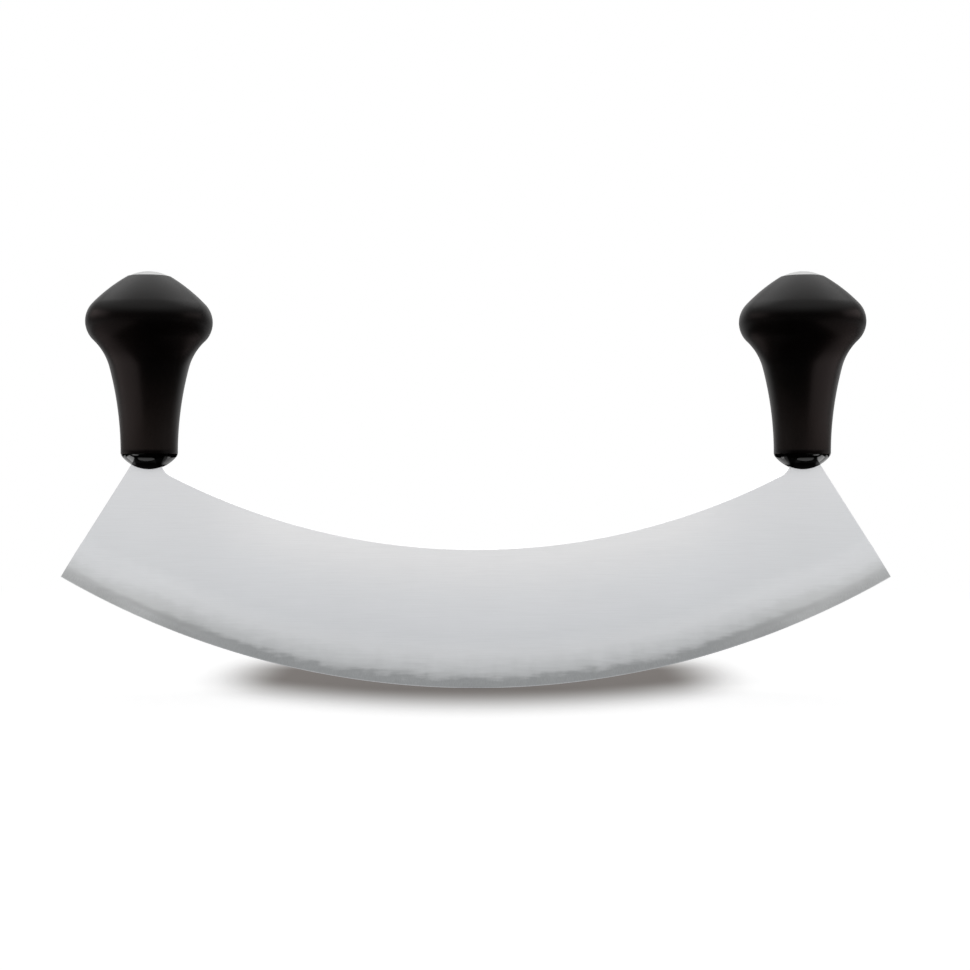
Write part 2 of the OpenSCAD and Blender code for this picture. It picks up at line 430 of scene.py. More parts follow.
@dataclass
class Effects:
    """The node groups that several finishes share, each built once."""

    edge_radius: float
    handle_x: float
    tone_reach: float = 60.0
    ends_from: Point = (80.0, 135.0)
    # Over a band towards the ends the tone is read broad_by millimetres lower: painted shade above the bevel's
    # shoulder, which meets the bevel's painted light below it.
    broad_from: Point = (80.0, 115.0)
    broad_to: Point = (122.0, 142.0)
    broad_by: float = 2.0
    # These tones are painted shade and light: darker towards the edge and paler towards the spine, by height over the
    # edge as a share of tone_reach.
    middle_tones: tuple = (
        (0.000, (0.352, 0.362, 0.368)),
        (0.046, (0.358, 0.368, 0.374)),
        (0.062, (0.435, 0.445, 0.452)),
        (0.078, (0.505, 0.516, 0.524)),
        (0.108, (0.545, 0.556, 0.566)),
        (0.145, (0.597, 0.608, 0.619)),
        (0.205, (0.648, 0.658, 0.672)),
        (0.300, (0.626, 0.638, 0.656)),
        (0.420, (0.646, 0.656, 0.674)),
        (0.540, (0.662, 0.671, 0.686)),
        (0.660, (0.690, 0.694, 0.704)),
        (0.780, (0.720, 0.720, 0.726)),
    )
    # Past ends_from these painted tones take over, with the bevel painted lighter and the flats less pale.
    end_tones: tuple = (
        (0.000, (0.528, 0.537, 0.540)),
        (0.040, (0.552, 0.561, 0.565)),
        (0.066, (0.592, 0.601, 0.606)),
        (0.083, (0.592, 0.601, 0.607)),
        (0.108, (0.612, 0.622, 0.630)),
        (0.145, (0.666, 0.676, 0.688)),
        (0.205, (0.676, 0.686, 0.700)),
        (0.300, (0.632, 0.642, 0.656)),
        (0.780, (0.640, 0.644, 0.656)),
    )
    groups: dict[str, bpy.types.NodeTree] = field(default_factory=dict)

    def build(self) -> None:
        """Builds every group."""
        self.groups["along_edge"] = self.along_edge()
        self.groups["streaks"] = self.streaks()
        self.groups["ground_tone"] = self.ground_tone()
        self.groups["turning"] = self.turning()
        self.groups["mottle"] = self.mottle()

    def along_edge(self) -> bpy.types.NodeTree:
        """Length along the cutting edge and height over it, both in millimetres, as a vector."""
        graph, given, wanted = new_group(
            "along_edge", {"Place": "Vector"}, {"Along": "Vector", "Height": "Float"}
        )
        parts = graph.add("SeparateXYZ", {0: given["Place"]}).outputs
        down = graph.math("SUBTRACT", self.edge_radius, parts["Z"])
        angle = graph.math("ARCTAN2", parts["X"], down)
        length = graph.math("MULTIPLY", angle, self.edge_radius / MM)
        flat = graph.add("CombineXYZ", {"X": parts["X"], "Z": down})
        reach = graph.add("VectorMath", {0: flat.outputs[0]}, operation="LENGTH").outputs["Value"]
        height = graph.math("DIVIDE", graph.math("SUBTRACT", self.edge_radius, reach), MM)
        across = graph.math("DIVIDE", parts["Y"], MM)
        vector = graph.add("CombineXYZ", {"X": length, "Y": across, "Z": height})
        graph.tree.links.new(vector.outputs[0], wanted["Along"])
        graph.tree.links.new(height, wanted["Height"])
        return graph.tree

    def streaks(self) -> bpy.types.NodeTree:
        """Fine scratches that run along X of the given place, from zero to one."""
        graph, given, wanted = new_group(
            "streaks", {"Place": "Vector", "Length": "Float", "Width": "Float"}, {"Height": "Float"}
        )
        stretch = graph.add(
            "CombineXYZ",
            {
                "X": graph.math("DIVIDE", 1.0, given["Length"]),
                "Y": graph.math("DIVIDE", 1.0, given["Width"]),
                "Z": graph.math("DIVIDE", 1.0, given["Width"]),
            },
        )
        place = graph.add("VectorMath", {0: given["Place"], 1: stretch.outputs[0]}, operation="MULTIPLY")
        fine = graph.add("TexNoise", {"Vector": place.outputs[0], "Scale": 1.0, "Detail": 3.0})
        graph.tree.links.new(fine.outputs["Fac"], wanted["Height"])
        return graph.tree

    def ground_tone(self) -> bpy.types.NodeTree:
        """The blade's tone by height over the edge, with the ragged upper border of hand grinding; the tones are
        painted shade, darker towards the edge and paler towards the spine, with their own painted tones at the ends.
        """
        graph, given, wanted = new_group(
            "ground_tone", {"Place": "Vector"}, {"Tone": "Color", "Broad": "Float"}
        )
        edge = self.use(graph, "along_edge", {"Place": given["Place"]})
        along = graph.add("SeparateXYZ", {0: edge.outputs["Along"]}).outputs["X"]
        wisps = self.use(
            graph, "streaks", {"Place": given["Place"], "Length": 8.0 * MM, "Width": 1.2 * MM}
        )
        passes = self.use(
            graph, "streaks", {"Place": edge.outputs["Along"], "Length": 5.5, "Width": 9.0}
        )
        ragged = graph.math(
            "ADD",
            graph.spread(wisps.outputs["Height"], 0.25, 0.75, (-0.8, 0.8)),
            graph.spread(passes.outputs["Height"], 0.25, 0.75, (-0.7, 0.7)),
        )
        far = graph.math("ABSOLUTE", along)
        broad = graph.math(
            "MULTIPLY",
            graph.spread(far, *self.broad_from, (0.0, 1.0)),
            graph.spread(far, *self.broad_to, (1.0, 0.0)),
        )
        # Painted shade: over the band towards the ends the tone is read lower, so the flat just above the shoulder is
        # painted darker.
        raised = graph.math("MULTIPLY_ADD", broad, -self.broad_by, ragged)
        lifted = graph.math("ADD", edge.outputs["Height"], raised)
        height = graph.math("DIVIDE", lifted, self.tone_reach)
        ends = graph.spread(far, *self.ends_from, (0.0, 1.0))
        tone = graph.blend(ends, graph.ramp(height, self.middle_tones), graph.ramp(height, self.end_tones))
        graph.tree.links.new(tone, wanted["Tone"])
        graph.tree.links.new(broad, wanted["Broad"])
        return graph.tree

    def turning(self) -> bpy.types.NodeTree:
        """Tool marks round either handle's axis, from zero to one."""
        graph, given, wanted = new_group(
            "turning", {"Place": "Vector", "Pitch": "Float"}, {"Height": "Float", "Radius": "Float"}
        )
        parts = graph.add("SeparateXYZ", {0: given["Place"]}).outputs
        aside = graph.math("SUBTRACT", graph.math("ABSOLUTE", parts["X"]), self.handle_x)
        flat = graph.add("CombineXYZ", {"X": aside, "Y": parts["Y"]})
        radius = graph.add("VectorMath", {0: flat.outputs[0]}, operation="LENGTH").outputs["Value"]
        climb = graph.math("ADD", radius, parts["Z"])
        rings = graph.math("DIVIDE", climb, given["Pitch"])
        place = graph.add("CombineXYZ", {"X": rings, "Y": 0.0, "Z": 0.0})
        marks = graph.add("TexNoise", {"Vector": place.outputs[0], "Scale": 1.0, "Detail": 2.0})
        graph.tree.links.new(marks.outputs["Fac"], wanted["Height"])
        graph.tree.links.new(radius, wanted["Radius"])
        return graph.tree

    def mottle(self) -> bpy.types.NodeTree:
        """Soft uneven patches, from a low value to a high one."""
        graph, given, wanted = new_group(
            "mottle",
            {"Place": "Vector", "Size": "Float", "Low": "Float", "High": "Float"},
            {"Value": "Float"},
        )
        scale = graph.math("DIVIDE", 1.0, given["Size"])
        noise = graph.add("TexNoise", {"Vector": given["Place"], "Scale": scale, "Detail": 4.0})
        wide = graph.add(
            "MapRange",
            {
                "Value": noise.outputs["Fac"],
                "From Min": 0.3,
                "From Max": 0.7,
                "To Min": given["Low"],
                "To Max": given["High"],
            },
        )
        graph.tree.links.new(wide.outputs["Result"], wanted["Value"])
        return graph.tree

    def use(self, graph: Graph, name: str, inputs: dict) -> bpy.types.Node:
        """Places a group in a material with its own values."""
        return graph.add("Group", inputs, node_tree=self.groups[name])


@dataclass
class Finish:
    """What every finish has: a name, and the way from a shader to a material."""

    effects: Effects
    name: str = "finish"

    def start(self) -> tuple[Graph, bpy.types.NodeSocket]:
        """A new material's graph and the object coordinates in it."""
        material = bpy.data.materials.new(self.name)
        material.use_nodes = True
        graph = Graph(material.node_tree)
        place = graph.add("TexCoord").outputs["Object"]
        return graph, place

    def end(self, graph: Graph, shader: dict) -> bpy.types.Material:
        """Closes the graph with a Principled shader and gives back its material."""
        surface = graph.add("BsdfPrincipled", shader)
        graph.add("OutputMaterial", {"Surface": surface.outputs[0]})
        return next(m for m in bpy.data.materials if m.node_tree == graph.tree)


@dataclass
class SatinSteel(Finish):
    """The blade's flats: fine lengthwise satin grain, with painted shade that makes them paler towards the spine and
    darker towards the edge.
    """

    name: str = "satin_steel"
    grain_length: float = 14 * MM
    grain_width: float = 0.14 * MM
    roughness: Point = (0.37, 0.43)

    def make(self) -> bpy.types.Material:
        """Builds the material."""
        graph, place = self.start()
        # The tone from the shared tone group carries the painted shade, paler towards the spine.
        tone = self.effects.use(graph, "ground_tone", {"Place": place}).outputs["Tone"]
        grain = self.effects.use(
            graph, "streaks", {"Place": place, "Length": self.grain_length, "Width": self.grain_width}
        )
        cloud = self.effects.use(
            graph, "mottle", {"Place": place, "Size": 45 * MM, "Low": 0.985, "High": 1.015}
        )
        line = graph.spread(grain.outputs["Height"], 0.3, 0.7, (0.975, 1.025))
        colour = graph.scaled_colour(tone, graph.math("MULTIPLY", cloud.outputs[0], line))
        gloss = graph.spread(grain.outputs["Height"], 0.3, 0.7, self.roughness)
        bump = graph.add(
            "Bump", {"Strength": 0.25, "Distance": 0.006 * MM, "Height": grain.outputs["Height"]}
        )
        shader = {"Base Color": colour, "Metallic": 1.0, "Roughness": gloss, "Normal": bump.outputs[0]}
        return self.end(graph, shader)


@dataclass
class GroundBevel(Finish):
    """The cutting bevel: painted darker as shade, with hand grinding across it and the honed line at the edge painted
    lighter as a highlight.
    """

    name: str = "ground_bevel"
    scratch_length: float = 3.5
    scratch_width: float = 0.22
    honed_height: float = 0.45
    shoulder_from: Point = (2.0, 4.4)
    foot_gain: float = 0.22

    def make(self) -> bpy.types.Material:
        """Builds the material."""
        graph, place = self.start()
        edge = self.effects.use(graph, "along_edge", {"Place": place})
        parts = graph.add("SeparateXYZ", {0: edge.outputs["Along"]}).outputs
        across = graph.add("CombineXYZ", {"X": parts["Z"], "Y": parts["Y"], "Z": parts["X"]})
        scratches = self.effects.use(
            graph,
            "streaks",
            {"Place": across.outputs[0], "Length": self.scratch_length, "Width": self.scratch_width},
        )
        passes = self.effects.use(
            graph, "mottle", {"Place": edge.outputs["Along"], "Size": 9.0, "Low": 0.97, "High": 1.03}
        )
        # The shared tones are painted shade, darkest on the bevel.
        ground = self.effects.use(graph, "ground_tone", {"Place": place}).outputs
        tone = ground["Tone"]
        # The honed line at the edge is painted half as light again: a painted highlight.
        honed_highlight = graph.spread(edge.outputs["Height"], 0.0, self.honed_height, (1.5, 1.0))
        below = graph.spread(edge.outputs["Height"], *self.shoulder_from, (1.0, 0.0))
        # Below the shoulder, over the band towards the ends, the bevel is painted lighter: painted light that meets
        # the flat's painted shade.
        foot = graph.math("MULTIPLY", ground["Broad"], self.foot_gain)
        marks = graph.spread(scratches.outputs["Height"], 0.3, 0.7, (-0.07, 0.07))
        lower = graph.math("MULTIPLY_ADD", graph.math("ADD", foot, marks), below, 1.0)
        shade = graph.math("MULTIPLY", graph.math("MULTIPLY", passes.outputs[0], lower), honed_highlight)
        bump = graph.add(
            "Bump", {"Strength": 0.35, "Distance": 0.01 * MM, "Height": scratches.outputs["Height"]}
        )
        gloss = graph.spread(scratches.outputs["Height"], 0.3, 0.7, (0.34, 0.44))
        shader = {
            "Base Color": graph.scaled_colour(tone, shade),
            "Metallic": 1.0,
            "Roughness": gloss,
            "Normal": bump.outputs[0],
        }
        return self.end(graph, shader)


@dataclass
class SatinBlack(Finish):
    """The knobs: black moulded plastic, polished by the hand on the crown and on the shank, with a painted sheen that
    makes the shank lighter towards its foot.
    """

    name: str = "satin_black"
    dark: Colour = (0.0010, 0.0005, 0.0004)
    light: Colour = (0.0024, 0.0014, 0.0012)
    # The colour of the painted sheen on the lower shank, and the heights over which it grows and stops.
    handled: Colour = (0.0066, 0.0044, 0.0036)
    handled_from: Point = (118 * MM, 86 * MM)
    foot_band: Point = (85.5 * MM, 86.4 * MM)
    belly_from: Point = (114 * MM, 125 * MM)
    belly_to: Point = (130 * MM, 137 * MM)
    polish: Point = (0.05, 0.27)
    roughness: Point = (0.40, 0.48)
    seam_shade: Point = (85.2 * MM, 86.1 * MM)
    seam_sides: Point = (4.5 * MM, 7.5 * MM)

    def make(self) -> bpy.types.Material:
        """Builds the material."""
        graph, place = self.start()
        parts = graph.add("SeparateXYZ", {0: place}).outputs
        height = parts["Z"]
        cloud = self.effects.use(
            graph, "mottle", {"Place": place, "Size": 18 * MM, "Low": 0.0, "High": 1.0}
        )
        moulded = graph.ramp(cloud.outputs[0], ((0.0, self.dark), (1.0, self.light)))
        # Painted sheen: a lighter, warmer colour growing towards the shank's foot, stopping above the foot's rounding,
        # which stays dark.
        low, high = self.handled_from
        painted_sheen_share = graph.math(
            "MULTIPLY",
            graph.spread(height, low, high, (0.0, 1.0)),
            graph.spread(height, *self.foot_band, (0.0, 1.0)),
        )
        foot = graph.scaled_colour(
            graph.ramp(painted_sheen_share, ((0.0, (0.0, 0.0, 0.0)), (1.0, self.handled))),
            graph.spread(cloud.outputs[0], 0.0, 1.0, (0.85, 1.15)),
        )
        colour = graph.add("VectorMath", {0: moulded, 1: foot}, operation="ADD").outputs[0]
        shank = graph.spread(height, *self.belly_from, (1.0, 0.0))
        crown = graph.spread(height, *self.belly_to, (0.0, 1.0))
        held = graph.math("MAXIMUM", shank, crown)
        aside = graph.math("SUBTRACT", graph.math("ABSOLUTE", parts["X"]), self.effects.handle_x)
        clear = graph.math(
            "MAXIMUM",
            graph.spread(graph.math("ABSOLUTE", aside), *self.seam_sides, (0.0, 1.0)),
            graph.spread(height, *self.seam_shade, (0.0, 1.0)),
        )
        coat = graph.math("MULTIPLY", graph.spread(held, 0.0, 1.0, self.polish), clear)
        grain = graph.add("TexNoise", {"Vector": place, "Scale": 2600.0, "Detail": 2.0})
        gloss = graph.spread(cloud.outputs[0], 0.0, 1.0, self.roughness)
        bump = graph.add(
            "Bump", {"Strength": 0.12, "Distance": 0.02 * MM, "Height": grain.outputs["Fac"]}
        )
        shader = {
            "Base Color": colour,
            "Roughness": gloss,
            "Specular IOR Level": 0.04,
            "Coat Weight": coat,
            "Coat Roughness": 0.28,
            "Normal": bump.outputs[0],
        }
        return self.end(graph, shader)


@dataclass
class GlossBlack(Finish):
    """The ferrules: glossy black plastic with the faint waviness of a moulding."""

    name: str = "gloss_black"
    dark: Colour = (0.0003, 0.0003, 0.0003)
    light: Colour = (0.0008, 0.0007, 0.0007)
    roughness: Point = (0.07, 0.13)
    outer_from: Point = (3.5 * MM, 4.3 * MM)
    inner_from: Point = (5.0 * MM, 5.8 * MM)
    inner_foot: float = 81.2 * MM
    inner_lean: float = -0.6
    top_from: Point = (83.9 * MM, 84.2 * MM)
    roll: float = 0.065
    lip_from: Point = (83.75 * MM, 84.1 * MM)
    lip_side: Point = (-1.0 * MM, 1.0 * MM)
    spot_side: Point = (-4.2 * MM, -3.2 * MM)
    foot_from: Point = (80.3 * MM, 81.3 * MM)
    middle_from: Point = (81.0 * MM, 81.7 * MM)
    middle_to: Point = (82.7 * MM, 83.4 * MM)
    glaze: float = 0.60
    thin_glaze: float = 0.15

    def make(self) -> bpy.types.Material:
        """Builds the material."""
        graph, place = self.start()
        parts = graph.add("SeparateXYZ", {0: place}).outputs
        aside = graph.math("SUBTRACT", graph.math("ABSOLUTE", parts["X"]), self.effects.handle_x)
        inward = graph.math("MULTIPLY", aside, -1.0)
        lip = graph.math(
            "MULTIPLY",
            graph.spread(parts["Z"], *self.lip_from, (0.0, self.glaze)),
            graph.spread(aside, *self.lip_side, (0.0, 1.0)),
        )
        outer = graph.math("MAXIMUM", lip, graph.spread(aside, *self.outer_from, (0.0, self.glaze)))
        over_foot = graph.math("SUBTRACT", parts["Z"], self.inner_foot)
        leaning = graph.math("MULTIPLY_ADD", over_foot, self.inner_lean, inward)
        rolled = graph.math("MULTIPLY_ADD", inward, self.roll, parts["Z"])
        inner = graph.math(
            "MULTIPLY",
            graph.spread(leaning, *self.inner_from, (0.0, self.glaze)),
            graph.spread(rolled, *self.top_from, (1.0, 0.1)),
        )
        foot = graph.spread(parts["Z"], *self.foot_from, (0.05, 1.0))
        middle = graph.math(
            "MULTIPLY",
            graph.spread(parts["Z"], *self.middle_from, (0.02, self.thin_glaze)),
            graph.spread(parts["Z"], *self.middle_to, (1.0, 0.1)),
        )
        middle = graph.math("MULTIPLY", middle, graph.spread(aside, *self.spot_side, (0.2, 1.0)))
        cloud = self.effects.use(
            graph, "mottle", {"Place": place, "Size": 6 * MM, "Low": 0.0, "High": 1.0}
        )
        colour = graph.ramp(cloud.outputs[0], ((0.0, self.dark), (1.0, self.light)))
        gloss = graph.spread(cloud.outputs[0], 0.0, 1.0, self.roughness)
        bump = graph.add(
            "Bump", {"Strength": 0.06, "Distance": 0.05 * MM, "Height": cloud.outputs[0]}
        )
        shader = {
            "Base Color": colour,
            "Roughness": gloss,
            "Specular IOR Level": 0.0,
            "Coat Weight": graph.math("MAXIMUM", middle, graph.math("MULTIPLY", graph.math("MAXIMUM", outer, inner), foot)),
            "Coat Roughness": 0.09,
            "Normal": bump.outputs[0],
        }
        return self.end(graph, shader)


@dataclass
class TurnedSteel(Finish):
    """Steel off the lathe: fine rings round the handle's axis."""

    name: str = "turned_steel"
    tone: Colour = (0.68, 0.68, 0.68)
    pitch: float = 0.12 * MM
    roughness: Point = (0.28, 0.40)
    ring_depth: float = 0.006 * MM

    def make(self) -> bpy.types.Material:
        """Builds the material."""
        graph, place = self.start()
        marks = self.effects.use(graph, "turning", {"Place": place, "Pitch": self.pitch})
        cloud = self.effects.use(
            graph, "mottle", {"Place": place, "Size": 5 * MM, "Low": 0.93, "High": 1.0}
        )
        dim = tuple(0.9 * c for c in self.tone)
        rings = graph.ramp(marks.outputs["Height"], ((0.35, dim), (0.65, self.tone)))
        gloss = graph.spread(marks.outputs["Height"], 0.3, 0.7, self.roughness)
        bump = graph.add(
            "Bump", {"Strength": 0.3, "Distance": self.ring_depth, "Height": marks.outputs["Height"]}
        )
        shader = {
            "Base Color": graph.scaled_colour(rings, cloud.outputs[0]),
            "Metallic": 1.0,
            "Roughness": gloss,
            "Normal": bump.outputs[0],
        }
        return self.end(graph, shader)


# The object's pieces


@dataclass
class Piece:
    """A finished part of the object, with a slot name and the frame's node that it stands for."""

    work: Workpiece
    slot: str
    node: str

    def hand_over(self) -> None:
        """Puts the piece on its body and says which node it stands for."""
        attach(self.work.obj, BODY)
        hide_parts(self.node)
        triangles = sum(len(p.vertices) - 2 for p in self.work.obj.data.polygons)
        log.info("%s: %d triangles, for %s", self.work.obj.name, triangles, self.node)


@dataclass(frozen=True)
class Layout:
    """Places that the pieces share, measured on the frame."""

    span: float
    strip_t: float
    tab_top: float
    handle_x: float
    seam_z: float
    crown_z: float
    knob_r: float
    ferrule_r: float
    spigot_top: float
    nut_top: float
    sleeve_z: float

    @classmethod
    def from_frame(cls) -> "Layout":
        """Reads the places from the frame's nodes."""
        blade_low, blade_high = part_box("blade")
        grip_low, grip_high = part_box("right_grip")
        ferrule_low, ferrule_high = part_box("right_ferrule")
        nut_low, nut_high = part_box("right_dome_nut")
        return cls(
            span=blade_high.x - blade_low.x,
            strip_t=blade_high.y - blade_low.y,
            tab_top=blade_high.z,
            handle_x=(grip_low.x + grip_high.x) / 2,
            seam_z=grip_low.z,
            crown_z=grip_high.z - 0.12 * MM,
            knob_r=(grip_high.x - grip_low.x) / 2,
            ferrule_r=(ferrule_high.x - ferrule_low.x) / 2,
            spigot_top=ferrule_high.z,
            nut_top=nut_high.z,
            sleeve_z=nut_low.z,
        )


@dataclass
class Blade:
    """The crescent: ground flats, a shallow taper, a hand-ground bevel, necks and tabs."""

    layout: Layout
    edge_radius: float = 300 * MM
    height: float = 50 * MM
    spine_radius: float = 242 * MM
    ground_off: float = 0.1 * MM
    taper_h: float = 14 * MM
    taper_off: float = 0.25 * MM
    bevel_h: float = 4.5 * MM
    edge_land: float = 0.2 * MM
    support_h: float = 1.2 * MM
    neck_in: float = 4.5 * MM
    neck_out: float = 4.9 * MM
    neck_fillet: float = 6 * MM
    ledge_drop: float = 5.6 * MM
    shoulder_drop: float = 1 * MM
    tab_w: float = 7.6 * MM
    rivet_bore: float = 2.6 * MM
    rivet_places: Point = (12.65 * MM, 19.15 * MM)
    edge_break: float = 0.18 * MM
    overshoot: float = 7 * MM
    ring_points: int = 3600
    waves: tuple = ((0.10 * MM, 8.3 * MM, 0.6), (0.06 * MM, 5.1 * MM, 1.9), (0.08 * MM, 19.0 * MM, 0.4))
    shoulder_round: float = 1.0 * MM
    spine_step: float = math.radians(0.5)
    fillet_step: float = math.radians(5)

    def __post_init__(self) -> None:
        """Works out the places that follow from the sizes."""
        self.wander = sum(size for size, _, _ in self.waves) + 0.01 * MM
        self.neck_x = self.layout.handle_x - self.neck_in
        self.shoulder_z = self.layout.seam_z - self.shoulder_drop
        self.ledge_z = self.layout.seam_z - self.ledge_drop
        self.strip_y = self.layout.strip_t / 2
        self.flat_y = self.strip_y - self.ground_off
        self.bevel_y = self.flat_y - self.taper_off
        self.tip = (self.layout.span / 2, self.edge_radius - math.sqrt(self.edge_radius**2 - (self.layout.span / 2) ** 2))
        self.end_top = (self.layout.handle_x + self.neck_out, self.shoulder_z)

    def spine(self) -> Outline:
        """The top outline from the right neck's inner side to the left one's, arcs included."""
        spine_c = (0.0, self.height + self.spine_radius)
        fillet_x = self.neck_x - self.neck_fillet
        reach = self.spine_radius - self.neck_fillet
        fillet_c = (fillet_x, spine_c[1] - math.sqrt(reach**2 - fillet_x**2))
        down = bearing(spine_c, fillet_c)
        right = [(self.neck_x, fillet_c[1])] + arc(fillet_c, self.neck_fillet, 0, down, self.fillet_step)
        left = [(-x, z) for x, z in reversed(right)]
        middle = arc(spine_c, self.spine_radius, down, -math.pi - down, self.spine_step)
        return right + middle[:-1] + left

    def edge_ring(self) -> Workpiece:
        """The cutting edge as a piece of a great ring that stands upright."""
        clear_selection()
        bpy.ops.mesh.primitive_circle_add(
            vertices=self.ring_points,
            radius=self.edge_radius,
            location=(0, 0, self.edge_radius),
            rotation=(math.pi / 2, 0, 0),
        )
        piece = Workpiece("crescent_blade")
        limit = self.tip[1] + 2 * self.overshoot
        piece.select(Element.VERTEX, lambda co, _: co.z > limit)
        bpy.ops.mesh.delete(type="VERT")
        piece.select_all()
        return piece

    def grind(self, piece: Workpiece) -> None:
        """Extrudes the edge into its land, the bevel, the taper and a strip of the flat."""
        centre = (0, 0, self.edge_radius)
        bevel = self.edge_radius - self.bevel_h
        taper = self.edge_radius - self.taper_h
        stations = (
            (self.edge_radius, self.edge_land / 2),
            (bevel, self.bevel_y),
            (taper, self.flat_y),
            (taper - self.support_h, self.flat_y),
        )
        radius, depth = self.edge_radius, 0.0
        bpy.ops.mesh.select_mode(type=Element.EDGE.value)
        for next_radius, next_depth in stations:
            bpy.ops.mesh.extrude_edges_move(TRANSFORM_OT_translate={"value": (0, depth - next_depth, 0)})
            share = next_radius / radius
            bpy.ops.transform.resize(value=(share, 1, share), center_override=centre)
            radius, depth = next_radius, next_depth

    def wave(self, along: float) -> float:
        """How far the hand-ground shoulder of the bevel wanders at a length along the edge."""
        return sum(size * math.sin(math.tau * along / length + turn) for size, length, turn in self.waves)

    def waver(self, piece: Workpiece) -> None:
        """Moves the bevel's shoulder up and down in the plane of the taper, as a hand grinder does."""
        slope = self.taper_off / (self.taper_h - self.bevel_h)
        piece.select(Element.VERTEX, lambda co, _: abs(co.y + self.bevel_y) < MERGE)
        mesh = bmesh.from_edit_mesh(piece.obj.data)
        centre = Vector((0, 0, self.edge_radius))
        for vertex in mesh.verts:
            if vertex.select:
                inward = (centre - Vector((vertex.co.x, 0, vertex.co.z))).normalized()
                rise = self.wave(math.atan2(vertex.co.x, self.edge_radius - vertex.co.z) * self.edge_radius)
                vertex.co += inward * rise - Vector((0, slope * rise, 0))
        bmesh.update_edit_mesh(piece.obj.data)

    def ease_shoulder(self, piece: Workpiece) -> None:
        """Rounds the bevel's shoulder into the taper."""
        bpy.ops.mesh.select_mode(type=Element.EDGE.value)
        bpy.ops.mesh.select_all(action="DESELECT")
        mesh = bmesh.from_edit_mesh(piece.obj.data)
        lowest = self.edge_radius - self.bevel_h + self.wander
        for edge in mesh.edges:
            reaches = [math.hypot(v.co.x, v.co.z - self.edge_radius) for v in edge.verts]
            along = abs(reaches[0] - reaches[1]) < 0.1 * MM
            if along and lowest - 2 * self.wander < min(reaches) and max(reaches) < lowest:
                edge.select_set(True)
        mesh.select_flush_mode()
        bmesh.update_edit_mesh(piece.obj.data)
        bpy.ops.mesh.bevel(offset=self.shoulder_round, segments=4, affect="EDGES", clamp_overlap=True)

    def flats(self, piece: Workpiece) -> None:
        """Draws the top outline from one end of the ground ring to the other and fills the flat."""
        ring = self.edge_radius - self.taper_h - self.support_h
        mesh = bmesh.from_edit_mesh(piece.obj.data)
        on_ring = [v for v in mesh.verts if self.on_ring(v.co, ring)]
        last = max(on_ring, key=lambda v: v.co.x).co.copy()
        outer = self.end_top[0] + self.overshoot
        tab = (self.layout.handle_x + self.tab_w / 2, self.layout.handle_x - self.tab_w / 2)
        tops = [(outer, self.ledge_z), (tab[0], self.ledge_z), (tab[1], self.ledge_z), (self.neck_x, self.ledge_z)]
        points = [(last.x, last.z), *tops, *self.spine()]
        points += [(-x, z) for x, z in reversed(tops)] + [(-last.x, last.z)]
        piece.select(Element.VERTEX, lambda co, _: (co - last).length < MERGE)
        piece.draw(points)
        piece.select_all()
        bpy.ops.mesh.remove_doubles(threshold=MERGE)
        piece.select(
            Element.VERTEX,
            lambda co, _: abs(co.y + self.flat_y) < MERGE
            and math.hypot(co.x, co.z - self.edge_radius) < ring + 0.1 * MM,
        )
        bpy.ops.mesh.edge_face_add()

    def on_ring(self, co: Vector, radius: float) -> bool:
        """Whether a point lies on a ring about the edge's centre."""
        return abs(math.hypot(co.x, co.z - self.edge_radius) - radius) < 0.01 * MM

    def necks(self, piece: Workpiece) -> None:
        """Raises the necks by a ledge and carries the tabs up from them to their round ends."""
        handle, half = self.layout.handle_x, self.tab_w / 2
        round_z = self.layout.tab_top - half
        piece.select(Element.EDGE, lambda co, _: abs(co.z - self.ledge_z) < MERGE)
        bpy.ops.mesh.extrude_edges_move(TRANSFORM_OT_translate={"value": (0, -self.ground_off, 0)})
        rise = self.shoulder_z - self.ledge_z
        bpy.ops.mesh.extrude_edges_move(TRANSFORM_OT_translate={"value": (0, 0, rise)})
        piece.select(
            Element.EDGE,
            lambda co, along: abs(co.z - self.shoulder_z) < MERGE and abs(abs(co.x) - handle) < MERGE,
        )
        bpy.ops.mesh.extrude_edges_move(TRANSFORM_OT_translate={"value": (0, 0, round_z - self.shoulder_z)})
        for side in Side:
            centre = (side.value * handle, round_z)
            right = (centre[0] + half, round_z)
            piece.select(
                Element.VERTEX,
                lambda co, _: abs(co.x - right[0]) < MERGE and abs(co.z - round_z) < MERGE,
            )
            piece.draw([right, *arc(centre, half, 0, math.pi, self.fillet_step)])
            piece.select_all()
            bpy.ops.mesh.remove_doubles(threshold=MERGE)
            piece.select(
                Element.VERTEX,
                lambda co, _: co.z > round_z - MERGE and abs(co.x - centre[0]) < half + MERGE,
            )
            bpy.ops.mesh.edge_face_add()

    def walls(self, piece: Workpiece) -> None:
        """Extrudes the rim of the side back to the mid-plane, then mirrors the side."""
        bpy.ops.mesh.select_mode(type=Element.EDGE.value)
        bpy.ops.mesh.select_all(action="DESELECT")
        mesh = bmesh.from_edit_mesh(piece.obj.data)
        for edge in mesh.edges:
            middle = (edge.verts[0].co + edge.verts[1].co) / 2
            rim = edge.is_boundary and middle.y < -self.flat_y + MERGE
            over_end = self.beyond_end(Vector((abs(middle.x), 0, middle.z)))
            ledge_side = abs(edge.verts[0].co.y - edge.verts[1].co.y) > self.ground_off / 2
            if rim and not ledge_side and not (over_end and middle.z < self.shoulder_z - MERGE):
                edge.select_set(True)
        mesh.select_flush_mode()
        bmesh.update_edit_mesh(piece.obj.data)
        bpy.ops.mesh.extrude_edges_move()
        bpy.ops.transform.resize(value=(1, 0, 1), center_override=(0, 0, 0))
        self.join_ledges(piece)
        piece.leave()
        piece.apply("MIRROR", use_axis=(False, True, False), merge_threshold=MERGE)
        piece.edit()

